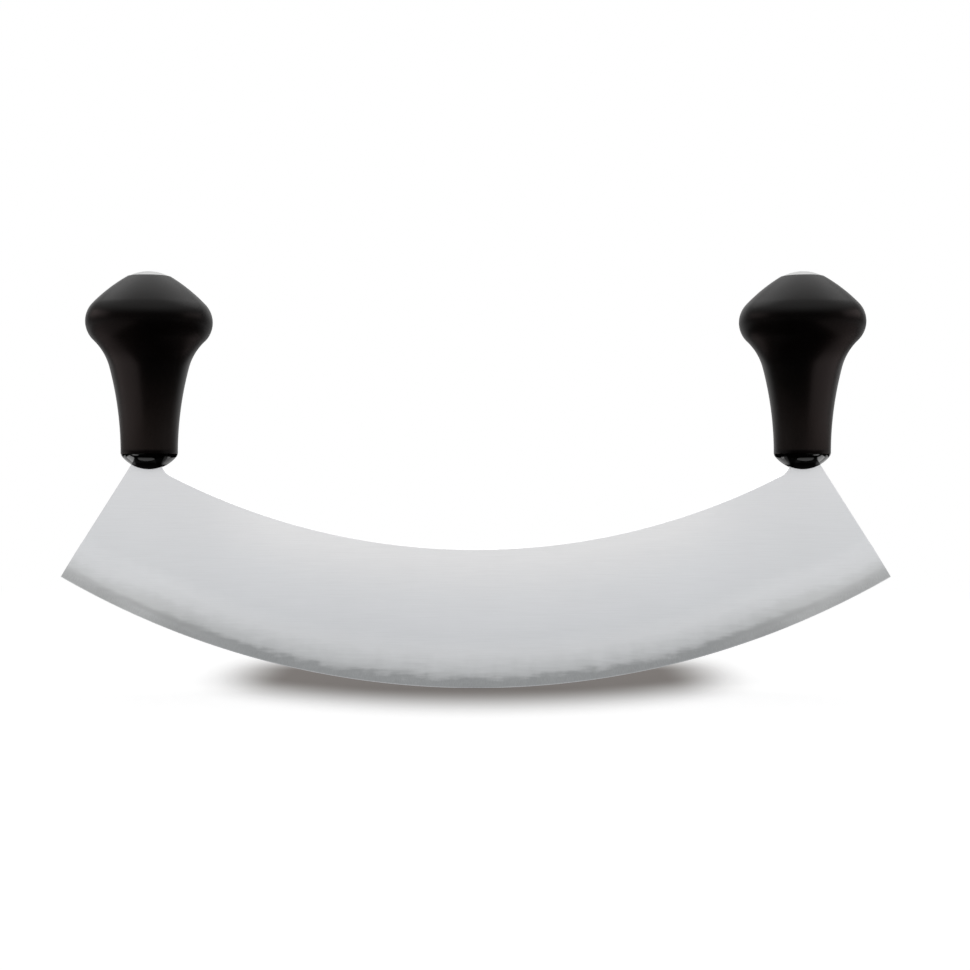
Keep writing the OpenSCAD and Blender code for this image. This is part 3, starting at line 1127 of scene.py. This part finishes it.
    def join_ledges(self, piece: Workpiece) -> None:
        """Gives the foot of each neck's inner wall a corner where the ledge meets it."""
        mesh = bmesh.from_edit_mesh(piece.obj.data)
        for edge in list(mesh.edges):
            low, high = sorted(edge.verts, key=lambda v: v.co.y)
            at_ledge = all(
                abs(abs(v.co.x) - self.neck_x) < MERGE and abs(v.co.z - self.ledge_z) < MERGE for v in edge.verts
            )
            if at_ledge and low.co.y < MERGE - self.strip_y and high.co.y > -MERGE:
                bmesh.utils.edge_split(edge, high, self.flat_y / self.strip_y)
        bmesh.update_edit_mesh(piece.obj.data)
        piece.select_all()
        bpy.ops.mesh.remove_doubles(threshold=MERGE)

    def beyond_end(self, co: Vector) -> bool:
        """Whether a point on the right half lies outside the slanted end cut."""
        (x0, z0), (x1, z1) = self.tip, self.end_top
        return (co.x - x0) * (z1 - z0) - (co.z - z0) * (x1 - x0) > MERGE * (z1 - z0)

    def end_cuts(self, piece: Workpiece) -> None:
        """Saws the two slanted ends off and closes them."""
        (x0, z0), (x1, z1) = self.tip, self.end_top
        for side in Side:
            outward = Vector((side.value * (z1 - z0), 0, x0 - x1)).normalized()
            self.select_below_tabs(piece)
            bpy.ops.mesh.bisect(
                plane_co=(side.value * x0, 0, z0),
                plane_no=outward,
                use_fill=True,
                clear_outer=True,
            )
        piece.tidy()

    def select_below_tabs(self, piece: Workpiece) -> None:
        """Selects all faces but those of the tabs, which the saw doesn't reach."""
        bpy.ops.mesh.select_mode(type=Element.FACE.value)
        bpy.ops.mesh.select_all(action="DESELECT")
        mesh = bmesh.from_edit_mesh(piece.obj.data)
        for face in mesh.faces:
            heights = [v.co.z for v in face.verts]
            on_tab = min(heights) > self.shoulder_z - MERGE and max(heights) > self.shoulder_z + MERGE
            face.select_set(not on_tab)
        bmesh.update_edit_mesh(piece.obj.data)

    def break_edges(self, piece: Workpiece) -> None:
        """Takes the sharpness off the spine and the upper part of the end cuts."""
        bpy.ops.mesh.select_mode(type=Element.EDGE.value)
        bpy.ops.mesh.select_all(action="DESELECT")
        mesh = bmesh.from_edit_mesh(piece.obj.data)
        mesh.normal_update()
        keep_below = self.ledge_z - 0.5 * MM
        for edge in mesh.edges:
            if len(edge.link_faces) != 2 or max(v.co.z for v in edge.verts) > keep_below:
                continue
            reach = max(math.hypot(v.co.x, v.co.z - self.edge_radius) for v in edge.verts)
            flat = max(abs(f.normal.y) for f in edge.link_faces) > 0.999
            wall = min(abs(f.normal.y) for f in edge.link_faces) < 0.01
            if flat and wall and reach < self.edge_radius - self.taper_h - 0.05 * MM:
                edge.select_set(True)
        mesh.select_flush_mode()
        bmesh.update_edit_mesh(piece.obj.data)
        bpy.ops.mesh.bevel(offset=self.edge_break, segments=2, affect="EDGES", clamp_overlap=True)
        piece.tidy()

    def bore(self, piece: Workpiece) -> None:
        """Drills the two rivet bores through each tab."""
        for side in Side:
            for place in self.rivet_places:
                clear_selection()
                bpy.ops.mesh.primitive_cylinder_add(
                    vertices=48,
                    radius=self.rivet_bore / 2,
                    depth=4 * self.strip_y,
                    location=(side.value * self.layout.handle_x, 0, self.layout.seam_z + place),
                    rotation=(math.pi / 2, 0, 0),
                )
                piece.cut(Workpiece("rivet_drill"))

    def dress(self, piece: Workpiece, satin: bpy.types.Material, ground: bpy.types.Material) -> None:
        """Gives the bevel and the edge their ground finish and the rest its satin one."""
        piece.obj.data.materials.clear()
        piece.obj.data.materials.append(satin)
        piece.obj.data.materials.append(ground)
        shoulder = self.edge_radius - self.bevel_h - self.wander
        for face in piece.obj.data.polygons:
            reach = math.hypot(face.center.x, face.center.z - self.edge_radius)
            tilted = 0.97 < abs(face.normal.y) < 0.995
            land = reach > self.edge_radius - 0.05 * MM
            face.material_index = 1 if land or (tilted and reach > shoulder) else 0

    def build(self, satin: bpy.types.Material, ground: bpy.types.Material) -> Piece:
        """Models the blade.

        Args:
            satin: Finish of the flats.
            ground: Finish of the bevel.

        Returns:
            The finished piece.
        """
        piece = self.edge_ring()
        self.grind(piece)
        self.waver(piece)
        self.ease_shoulder(piece)
        self.flats(piece)
        self.necks(piece)
        self.walls(piece)
        self.end_cuts(piece)
        self.break_edges(piece)
        piece.leave()
        self.bore(piece)
        piece.smooth(6)
        self.dress(piece, satin, ground)
        return Piece(piece, "blade_steel", "blade")


@dataclass
class Handle:
    """A knob with its ferrule and its dome nut, drawn on the Z axis over the seam between them."""

    layout: Layout
    blade: Blade
    steps: int = 160
    belly_r: float = 9.4 * MM
    belly_h: float = 48.3 * MM
    crown_radius: float = 60 * MM
    shank_r: float = 10.2 * MM
    flare_radius: float = 123 * MM
    throat_radius: float = 20.5 * MM
    seam_lift: float = 0.55 * MM
    foot_round: float = 0.35 * MM
    rim_land: float = 0.3 * MM
    rim_round: float = 0.25 * MM
    dome_drop: float = 4.97 * MM
    dome_radius: float = 12.5 * MM
    dome_end: float = math.radians(-42)
    shoulder_radius: float = 4.94 * MM
    shoulder_end: float = math.radians(-25)
    lip_round: float = 0.12 * MM
    spigot_r: float = 7.5 * MM
    slot_gap: float = 0.1 * MM
    bore_gap: float = 0.1 * MM
    head_r: float = 7.4 * MM
    recess_r: float = 7.55 * MM
    recess_depth: float = 2.2 * MM
    head_rim_h: float = 1.2 * MM
    head_break: float = 0.15 * MM
    sleeve_r: float = 4.5 * MM
    thread_r: float = 3.05 * MM
    thread_depth: float = 12 * MM
    foot_bore_r: float = 5.5 * MM
    foot_bore_top: float = 26.9 * MM
    rod_bore_r: float = 3.1 * MM
    hole_r: float = 0.8 * MM
    hole_circle: float = 5.2 * MM
    hole_turn: float = math.radians(-30)
    hole_depth: float = 1.6 * MM
    fine: float = math.radians(2.5)

    def grip_profile(self) -> Outline:
        """The knob's whole section, up its outside and down its stepped bore."""
        top = self.layout.crown_z - self.layout.seam_z
        spigot_top = self.layout.spigot_top - self.layout.seam_z
        sleeve = self.layout.sleeve_z - self.layout.seam_z - self.bore_gap
        belly = (self.layout.knob_r - self.belly_r, self.belly_h)
        lift = self.seam_lift
        flare = (self.shank_r + self.flare_radius, lift + self.foot_round)
        throat = crossing(flare, self.flare_radius - self.throat_radius, belly, self.belly_r + self.throat_radius)
        rim = (self.recess_r + self.rim_land, top)
        crown = crossing(belly, self.crown_radius - self.belly_r, rim, self.crown_radius)
        foot = (self.shank_r - self.foot_round, lift + self.foot_round)
        spigot_bore = self.spigot_r + self.bore_gap
        outside = [(spigot_bore, lift), (foot[0], lift)]
        outside += arc(foot, self.foot_round, -math.pi / 2, 0, math.radians(9))
        outside += arc(flare, self.flare_radius, math.pi, bearing(flare, throat), math.radians(0.6))
        outside += arc(throat, self.throat_radius, bearing(flare, throat), bearing(belly, throat) + math.pi, self.fine)
        outside += arc(belly, self.belly_r, bearing(belly, throat), bearing(crown, belly), self.fine)
        outside += arc(crown, self.crown_radius, bearing(crown, belly), bearing(crown, rim), math.radians(1))
        inside = [
            (self.recess_r, top),
            (self.recess_r, top - self.recess_depth),
            (self.sleeve_r + self.bore_gap, top - self.recess_depth),
            (self.sleeve_r + self.bore_gap, sleeve),
            (self.rod_bore_r, sleeve),
            (self.rod_bore_r, self.foot_bore_top),
            (self.foot_bore_r, self.foot_bore_top),
            (self.foot_bore_r, spigot_top),
            (spigot_bore, spigot_top),
            (spigot_bore, lift),
        ]
        return outside + inside

    def ferrule_profile(self) -> Outline:
        """The ferrule from the top of its spigot, over its rounded lip and shoulder, to the foot of its dome."""
        dome = (0.0, self.dome_radius - self.dome_drop)
        shoulder = polar(dome, self.dome_radius - self.shoulder_radius, self.dome_end)
        lip_r = polar(shoulder, self.shoulder_radius, self.shoulder_end)[0]
        lip = (lip_r - self.lip_round, self.seam_lift - self.lip_round)
        start = [
            (self.spigot_r, self.layout.spigot_top - self.layout.seam_z),
            (self.spigot_r, self.seam_lift),
            (lip[0], self.seam_lift),
        ]
        start += arc(lip, self.lip_round, math.pi / 2, 0, math.radians(30))
        start += arc(shoulder, self.shoulder_radius, self.shoulder_end, self.dome_end, math.radians(1.5))
        return start + arc(dome, self.dome_radius, self.dome_end, -math.pi / 2, self.fine)

    def nut_profile(self) -> Outline:
        """The nut from the blind end of its thread, down and round its sleeve, to its dome."""
        top = self.layout.nut_top - self.layout.seam_z
        rim = self.layout.crown_z - self.layout.seam_z
        sleeve = self.layout.sleeve_z - self.layout.seam_z
        dome_h = top - rim
        radius = (self.head_r**2 + dome_h**2) / (2 * dome_h)
        dome = (0.0, top - radius)
        shoulder = self.head_r - self.head_break
        on_dome = (shoulder, dome[1] + math.sqrt(radius**2 - shoulder**2))
        outline = [
            (self.thread_r, sleeve + self.thread_depth),
            (self.thread_r, sleeve),
            (self.sleeve_r, sleeve),
            (self.sleeve_r, rim - self.head_rim_h),
            (self.head_r, rim - self.head_rim_h),
            (self.head_r, rim - self.head_break / 2),
            on_dome,
        ]
        return outline + arc(dome, radius, bearing(dome, on_dome), math.pi / 2, self.fine)

    def turned(self, name: str, profile: Outline, filled: bool) -> Workpiece:
        """Turns a profile into a pattern piece on the Z axis."""
        piece = Workpiece.from_ring(name, profile[0][0], profile[0][1], self.steps, filled)
        piece.turn(profile)
        piece.leave()
        return piece

    def slot_in(self, ferrule: Workpiece) -> None:
        """Cuts the ferrule's slots for the blade's neck and tab."""
        layout, gap, half = self.layout, self.slot_gap, self.blade.tab_w / 2
        (x0, z0), (x1, z1) = self.blade.tip, self.blade.end_top
        lean = (x0 - x1) / (z1 - z0)
        foot = -2 * self.dome_drop
        outer = self.blade.neck_out + gap * math.hypot(1, lean)
        seat = -self.blade.shoulder_drop + gap
        neck = [
            (-self.blade.neck_in - gap, foot),
            (outer + (seat - foot) * lean, foot),
            (outer, seat),
            (-self.blade.neck_in - gap, seat),
        ]
        over = layout.spigot_top - layout.seam_z + self.dome_drop
        tab = [(-half - gap, foot), (half + gap, foot), (half + gap, over), (-half - gap, over)]
        for name, outline in (("neck_slot", neck), ("tab_slot", tab)):
            ferrule.cut(Workpiece.from_outline(name, outline, layout.strip_t + 2 * gap))

    def spanner_holes(self, nut: Workpiece) -> None:
        """Drills the two blind holes in the nut's dome for a pin spanner."""
        top = self.layout.nut_top - self.layout.seam_z
        for half_turn in (0.0, math.pi):
            x, y = polar((0.0, 0.0), self.hole_circle, self.hole_turn + half_turn)
            clear_selection()
            bpy.ops.mesh.primitive_cylinder_add(
                vertices=32, radius=self.hole_r, depth=2 * self.hole_depth, location=(x, y, top)
            )
            nut.cut(Workpiece("spanner_drill"))

    def build(self, satin: bpy.types.Material, gloss: bpy.types.Material, steel: bpy.types.Material) -> list[Piece]:
        """Models each piece once and copies it to both sides.

        Args:
            satin: Finish of the knobs.
            gloss: Finish of the ferrules.
            steel: Finish of the dome nuts.

        Returns:
            The finished pieces of both handles.
        """
        grip = self.turned("knob_pattern", self.grip_profile(), False)
        ferrule = self.turned("plug_pattern", self.ferrule_profile(), True)
        self.slot_in(ferrule)
        nut = self.turned("nut_pattern", self.nut_profile(), True)
        self.spanner_holes(nut)
        patterns = (
            (grip, "knob", "grip_plastic", "grip", satin, 35),
            (ferrule, "end_plug", "ferrule_plastic", "ferrule", gloss, 30),
            (nut, "cap_nut", "nut_steel", "dome_nut", steel, 30),
        )
        pieces = []
        for pattern, word, slot, node, finish, angle in patterns:
            for side in Side:
                move = Vector((side.value * self.layout.handle_x, 0, self.layout.seam_z))
                copy = pattern.copied_to(f"{side.label}_{word}", side, move)
                copy.smooth(angle)
                copy.obj.data.materials.clear()
                copy.obj.data.materials.append(finish)
                pieces.append(Piece(copy, slot, f"{side.label}_{node}"))
            pattern.discard()
        return pieces


@dataclass
class InnerSteel:
    """The studs, rivets and washers inside the knobs, which are the frame's own nodes."""

    words: tuple[str, ...] = ("stud", "rivets", "washer")

    def dress(self, finish: bpy.types.Material) -> None:
        """Gives every inner node its finish."""
        for side in Side:
            for word in self.words:
                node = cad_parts[f"{side.label}_{word}"]
                node.data.materials.clear()
                node.data.materials.append(finish)
                log.info("%s: dressed in %s", node.name, finish.name)


# The studio


@dataclass(frozen=True)
class Softbox:
    """A rectangular or oval lamp that faces a point and lights the named pieces only."""

    name: str
    centre: tuple[float, float, float]
    target: tuple[float, float, float]
    width: float
    height: float
    radiance: float
    only: tuple[str, ...]
    shape: str = "RECTANGLE"
    colour: Colour = (1.0, 1.0, 1.0)

    def beside(self, side: Side) -> "Softbox":
        """This lamp as set up for one handle, whose pieces it lights; it is drawn for the right."""
        flip = Vector((side.value, 1, 1))
        return Softbox(
            f"{side.label}_{self.name}",
            tuple(Vector(self.centre) * flip),
            tuple(Vector(self.target) * flip),
            self.width,
            self.height,
            self.radiance,
            tuple(f"{side.label}_{word}" for word in self.only),
            self.shape,
            self.colour,
        )

    def place(self) -> None:
        """Adds the lamp and the collection of the pieces that it lights."""
        data = bpy.data.lights.new(self.name, "AREA")
        data.shape = self.shape
        data.size = self.width
        data.size_y = self.height
        share = math.pi / 4 if self.shape == "ELLIPSE" else 1.0
        data.energy = self.radiance * math.pi * self.width * self.height * share
        data.color = self.colour
        lamp = bpy.data.objects.new(self.name, data)
        lamp.location = self.centre
        towards = Vector(self.target) - Vector(self.centre)
        lamp.rotation_euler = towards.to_track_quat("-Z", "Y").to_euler()
        lamp.visible_camera = False
        bpy.context.scene.collection.objects.link(lamp)
        lit = bpy.data.collections.new(f"lit_by_{self.name}")
        for piece in self.only:
            lit.objects.link(bpy.data.objects[piece])
        lamp.light_linking.receiver_collection = lit


@dataclass
class Studio:
    """Camera, lamps, white surroundings and a white floor with the object's soft shadow, partly painted on it."""

    picture_px: int = 970
    mm_per_px: float = 0.36145
    origin_px: Point = (475.8, 688.0)
    distance: float = 0.65
    sensor: float = 36.0
    fill: float = 0.75
    backdrop_from: Point = (0.55, 0.90)
    ceiling_from: Point = (0.30, 0.80)
    ceiling: float = 1.15
    front: float = 0.06
    glow_colour: Colour = (1.0, 0.82, 0.80)
    floor_size: float = 12.0
    floor_colour: Colour = (0.86, 0.86, 0.86)
    floor_lift: float = 0.40
    far_start: float = 0.30
    far_end: float = 0.70
    # The soft shadow painted on the floor under the blade:
    shade_sides: Point = (0.071, 0.110)
    shade_front: Point = (-0.0049, -0.0921)
    shade_back: Point = (0.010, 0.095)
    shade_ends: Point = (0.060, 0.140)
    front_bow: float = 6.62
    back_bow: float = 10.0
    shade_colour: Colour = (0.205, 0.190, 0.180)
    card_back: float = 0.35
    card_front: float = -1.6
    card_lift: float = 0.00005

    def camera(self) -> None:
        """Puts the camera level, square to the blade, where the photograph was taken from."""
        half = self.picture_px / 2
        data = bpy.data.cameras.new("camera")
        data.sensor_width = self.sensor
        data.lens = self.sensor * self.distance / (self.picture_px * self.mm_per_px * MM)
        data.clip_start = 0.01
        data.clip_end = 50
        camera = bpy.data.objects.new("camera", data)
        camera.location = (
            (half - self.origin_px[0]) * self.mm_per_px * MM,
            -self.distance,
            (self.origin_px[1] - half) * self.mm_per_px * MM,
        )
        camera.rotation_euler = (math.pi / 2, 0, 0)
        bpy.context.scene.collection.objects.link(camera)
        bpy.context.scene.camera = camera

    def seen(self, graph: Graph) -> bpy.types.NodeSocket:
        """One for rays that show the surroundings: from the camera, off gloss or through glass."""
        path = graph.add("LightPath").outputs
        pair = graph.math("MAXIMUM", path["Is Camera Ray"], path["Is Glossy Ray"])
        return graph.math("MAXIMUM", pair, path["Is Transmission Ray"])

    def surroundings(self) -> None:
        """White wherever the camera looks; gloss sees it behind and above, and a dim front."""
        world = bpy.data.worlds.new("surroundings")
        world.use_nodes = True
        graph = Graph(world.node_tree)
        way = graph.add("TexCoord").outputs["Generated"]
        parts = graph.add("SeparateXYZ", {0: way}).outputs
        behind = graph.spread(parts["Y"], *self.backdrop_from, (self.front, 1.0))
        above = graph.spread(parts["Z"], *self.ceiling_from, (self.front, self.ceiling))
        gloss = graph.math("MAXIMUM", behind, above)
        camera = graph.add("LightPath").outputs["Is Camera Ray"]
        shown = graph.math("MAXIMUM", camera, gloss)
        seen = self.seen(graph)
        lit = graph.math("MULTIPLY", graph.math("SUBTRACT", 1.0, seen), self.fill)
        strength = graph.math("ADD", graph.math("MULTIPLY", seen, shown), lit)
        white = graph.add("Background", {"Color": (1, 1, 1, 1), "Strength": strength})
        graph.add("OutputWorld", {"Surface": white.outputs[0]})
        bpy.context.scene.world = world

    def floor(self) -> None:
        """A plain white floor that keeps the shadow, with a soft shadow painted on it under the blade."""
        clear_selection()
        bpy.ops.mesh.primitive_plane_add(size=self.floor_size, location=(0, 0, 0))
        floor = bpy.context.object
        floor.name = "floor"
        floor.data.materials.append(self.floor_material())

    def floor_material(self) -> bpy.types.Material:
        """The floor's material, with a soft oval shadow painted under the blade."""
        material = bpy.data.materials.new("floor")
        material.use_nodes = True
        graph = Graph(material.node_tree)
        place = graph.add("TexCoord").outputs["Object"]
        seen = self.seen(graph)
        away = graph.add("VectorMath", {0: place}, operation="LENGTH").outputs["Value"]
        far = graph.spread(away, self.far_start, self.far_end, (0.0, 1.0))
        # The shade below is a painted shadow: a soft oval bowed back at its ends, darkest under the blade.
        parts = graph.add("SeparateXYZ", {0: place}).outputs
        square = graph.math("POWER", parts["X"], 2.0)
        front = graph.math("MULTIPLY_ADD", square, -self.front_bow, parts["Y"])
        back = graph.math("MULTIPLY_ADD", square, -self.back_bow, parts["Y"])
        dark = graph.math(
            "MULTIPLY",
            graph.spread(graph.math("ABSOLUTE", parts["X"]), *self.shade_sides, (1.0, 0.0)),
            graph.spread(front, *reversed(self.shade_front), (0.0, 1.0)),
        )
        dark = graph.math("MULTIPLY", dark, graph.spread(back, *self.shade_back, (1.0, 0.0)))
        dark = graph.math("MULTIPLY", dark, graph.spread(parts["Y"], *self.shade_ends, (1.0, 0.0)))
        open_floor = graph.math("SUBTRACT", 1.0, dark)
        white = (1.0, 1.0, 1.0)
        shade = graph.ramp(open_floor, ((0.0, self.shade_colour), (1.0, white)))
        paint = graph.add("VectorMath", {0: shade, 1: self.floor_colour}, operation="MULTIPLY")
        matt = graph.add("BsdfDiffuse", {"Color": paint.outputs[0]})
        lift = graph.add(
            "Emission", {"Color": shade, "Strength": graph.math("MULTIPLY", seen, self.floor_lift)}
        )
        near = graph.add("AddShader", {0: matt.outputs[0], 1: lift.outputs[0]})
        white_light = graph.add("Emission", {"Color": (1, 1, 1, 1), "Strength": 1.0})
        mixed = graph.add(
            "MixShader",
            {0: graph.math("MULTIPLY", far, seen), 1: near.outputs[0], 2: white_light.outputs[0]},
        )
        graph.add("OutputMaterial", {"Surface": mixed.outputs[0]})
        return material

    def black_card(self) -> None:
        """A black card over the floor in front and below, which only gloss sees: a painted dark reflection in the
        glossy pieces where the white floor would show.
        """
        clear_selection()
        depth = self.card_back - self.card_front
        middle = (self.card_back + self.card_front) / 2
        bpy.ops.mesh.primitive_plane_add(size=depth, location=(0, middle, self.card_lift))
        card = bpy.context.object
        card.name = "table_card"
        bpy.ops.object.transform_apply(location=True, rotation=True, scale=True)
        card.data.materials.append(self.felt())
        card.visible_camera = False
        card.visible_diffuse = False
        card.visible_transmission = False
        card.visible_shadow = False

    def felt(self) -> bpy.types.Material:
        """Black for the card, which shows only as a painted dark reflection."""
        material = bpy.data.materials.new("black_felt")
        material.use_nodes = True
        graph = Graph(material.node_tree)
        felt = graph.add("BsdfDiffuse", {"Color": (0.002, 0.002, 0.002, 1)})
        graph.add("OutputMaterial", {"Surface": felt.outputs[0]})
        return material

    def build(self) -> None:
        """Sets up the camera, the surroundings and the floor."""
        self.camera()
        self.surroundings()
        self.floor()
        self.black_card()
        bpy.context.scene.view_settings.view_transform = "Standard"

    def light(self) -> None:
        """Sets up the lamps once the pieces that they light are there."""
        knobs = tuple(f"{side.label}_knob" for side in Side)
        plugs = tuple(f"{side.label}_end_plug" for side in Side)
        blade = ("crescent_blade",)
        warm = self.glow_colour
        lamps = [
            Softbox("crown_softbox", (0, 0.43, 0.90), (0, 0.05, 0.15), 1.5, 0.70, 0.77, knobs + plugs),
            Softbox("blade_softbox", (0, -1.3, 0.70), (0, -0.1, 0.70), 4.0, 1.4, 1.12, blade),
            Softbox("blade_back_softbox", (0, 1.3, 0.70), (0, 0.1, 0.70), 4.0, 1.4, 1.12, blade),
            Softbox("front_bounce", (0, -0.67, 0.0001), (0, -0.67, 1), 3.0, 1.26, 0.73, blade),
            Softbox("back_bounce", (0, 0.67, 0.0001), (0, 0.67, 1), 3.0, 1.26, 0.73, blade),
            Softbox("edge_bounce", (0, 0, 0.0001), (0, 0, 1), 0.22, 0.08, 0.73, blade),
        ]
        beside = (
            Softbox(
                "table_glow", (0.66, -0.23, 0.001), (0.66, -0.23, 1), 0.86, 0.80, 1.25, ("knob",), colour=warm
            ),
            Softbox(
                "outer_glow", (1.1, 0.10, 0.40), (0.118, 0, 0.13), 0.9, 0.30, 1.42, ("knob",), colour=warm
            ),
            Softbox(
                "inner_glow", (-1.0, 0.15, 0.42), (0.118, 0, 0.13), 0.9, 0.28, 1.25, ("knob",), colour=warm
            ),
            Softbox("throat_glow", (-0.01, 0.14, 0.001), (-0.01, 0.14, 1), 0.13, 0.11, 1.3, ("knob",), colour=warm),
            Softbox("outer_catch", (0.207, 0.040, 0.001), (0.207, 0.040, 1), 0.058, 0.080, 4.2, ("end_plug",)),
            Softbox("outer_rim", (0.235, 0.215, 0.001), (0.235, 0.215, 1), 0.11, 0.27, 1.5, ("end_plug",)),
            Softbox("inner_catch", (0.078, 0.16, 0.001), (0.078, 0.16, 1), 0.060, 0.24, 1.25, ("end_plug",)),
            Softbox("low_catch", (0.130, -0.004, 0.001), (0.130, -0.004, 1), 0.064, 0.030, 5.5, ("end_plug",), "ELLIPSE"),
            Softbox("outer_lip", (0.205, -0.047, 0.001), (0.205, -0.047, 1), 0.062, 0.040, 4.2, ("end_plug",)),
            Softbox("inner_lip", (0.046, 0.060, 0.001), (0.046, 0.060, 1), 0.020, 0.050, 2.0, ("end_plug",)),
        )
        lamps += [lamp.beside(side) for side in Side for lamp in beside]
        for lamp in lamps:
            lamp.place()
        log.info("studio: %d lamps", len(lamps))


def main() -> None:
    """Builds the studio, the finishes and the object's pieces, in that order."""
    logging.basicConfig(level=logging.INFO, format="%(name)s: %(message)s")
    layout = Layout.from_frame()
    studio = Studio()
    studio.build()
    blade = Blade(layout)
    effects = Effects(blade.edge_radius, layout.handle_x)
    effects.build()
    satin = SatinSteel(effects).make()
    ground = GroundBevel(effects).make()
    pieces = [blade.build(satin, ground)]
    black = SatinBlack(effects).make()
    gloss = GlossBlack(effects).make()
    bright = TurnedSteel(effects).make()
    pieces += Handle(layout, blade).build(black, gloss, bright)
    for piece in pieces:
        piece.hand_over()
    plain = TurnedSteel(effects, "inner_steel", (0.55, 0.55, 0.57), 0.3 * MM, (0.35, 0.5), 0.012 * MM)
    InnerSteel().dress(plain.make())
    studio.light()


if __name__ == "__main__":
    main()
